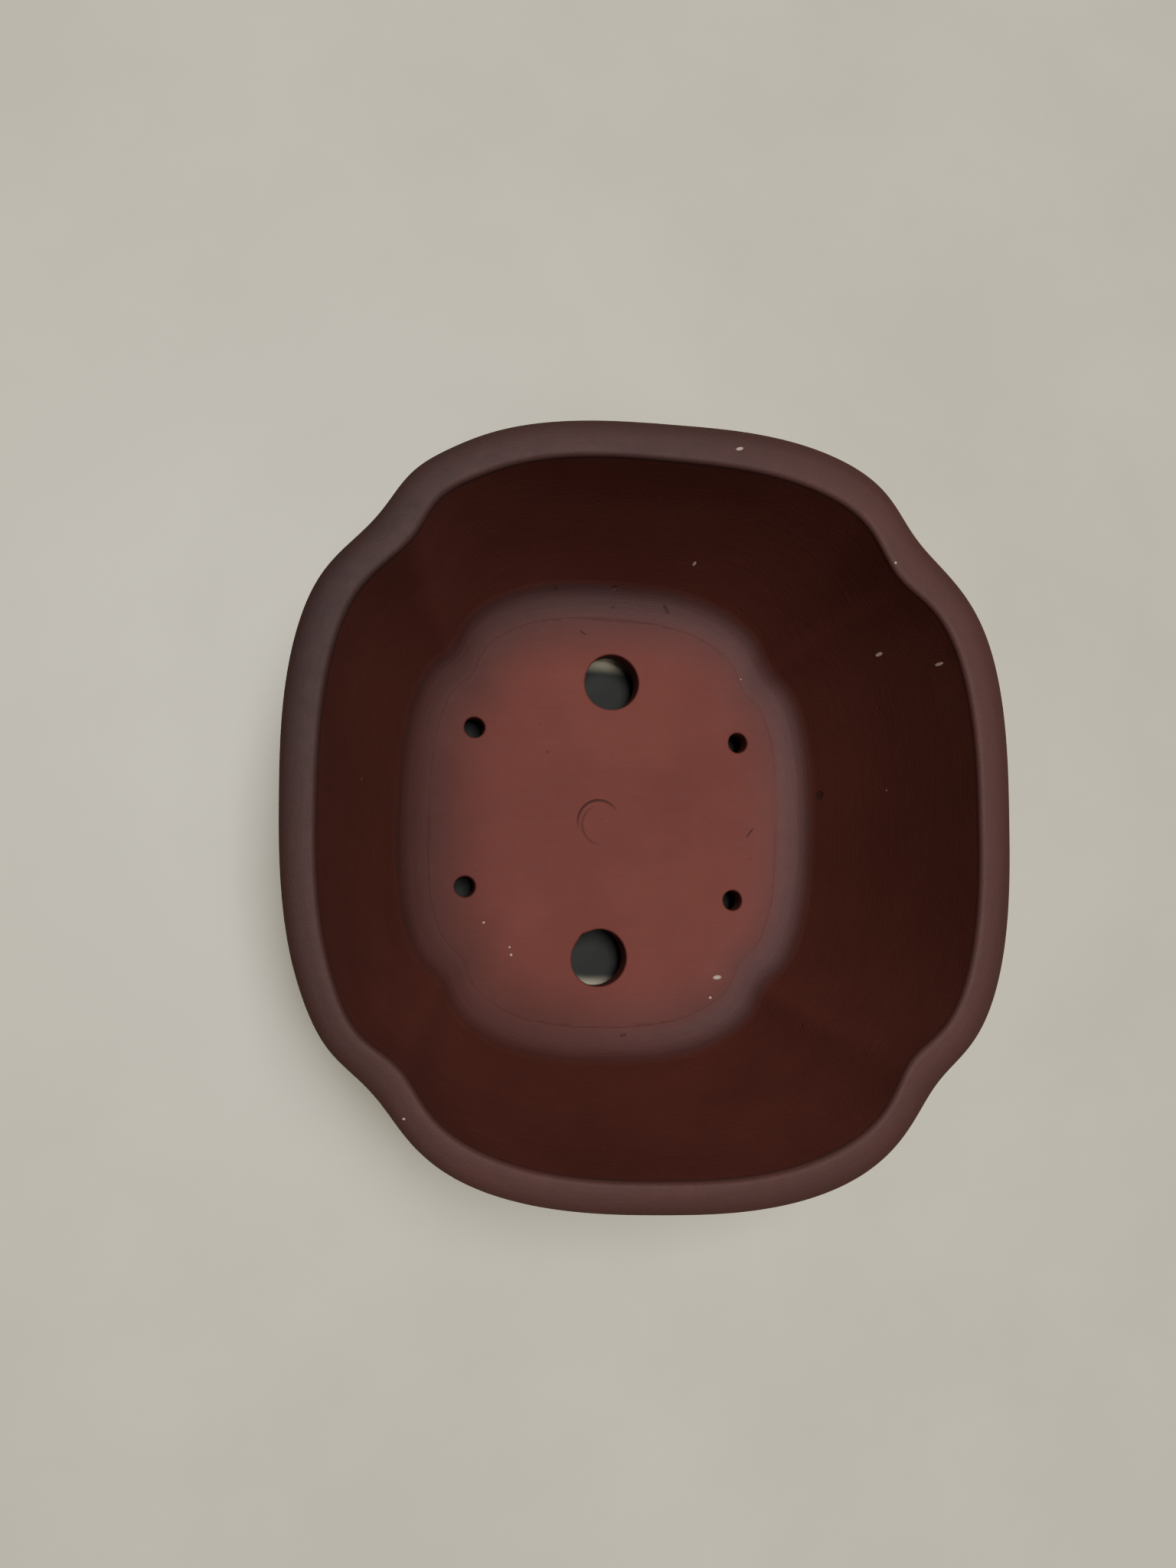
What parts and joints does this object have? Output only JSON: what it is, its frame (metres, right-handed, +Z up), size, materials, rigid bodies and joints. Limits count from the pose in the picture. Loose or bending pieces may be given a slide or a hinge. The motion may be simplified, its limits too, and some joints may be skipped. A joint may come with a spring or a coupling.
{
  "type": "bonsai pot",
  "caption": "Unglazed red-brown clay bonsai pot with a four-lobed plan, flared walls, a rolled lip, drain and wire holes, and bracket feet.",
  "frame": {"origin": "on the ground under the middle of the pot", "axes": "+Z up, +Y along the long side of the pot, +X along the short side"},
  "size_m": [0.21, 0.22, 0.09],
  "materials": {
    "body_clay": "unglazed, matte with a faint burnish",
    "lip_clay": "unglazed, rubbed smooth, satin",
    "cove_clay": "unglazed, smoothed by hand, greyish bloom",
    "foot_clay": "unglazed, matte"
  },
  "bodies": {
    "root": {"floor_slab": "body_clay", "cove_coil": "cove_clay", "rim_lip": "lip_clay", "wall_right": "body_clay", "wall_back": "body_clay", "wall_left": "body_clay", "wall_front": "body_clay", "foot_back_right": "foot_clay", "foot_back_left": "foot_clay", "foot_front_left": "foot_clay", "foot_front_right": "foot_clay"}
  },
  "joints": []
}
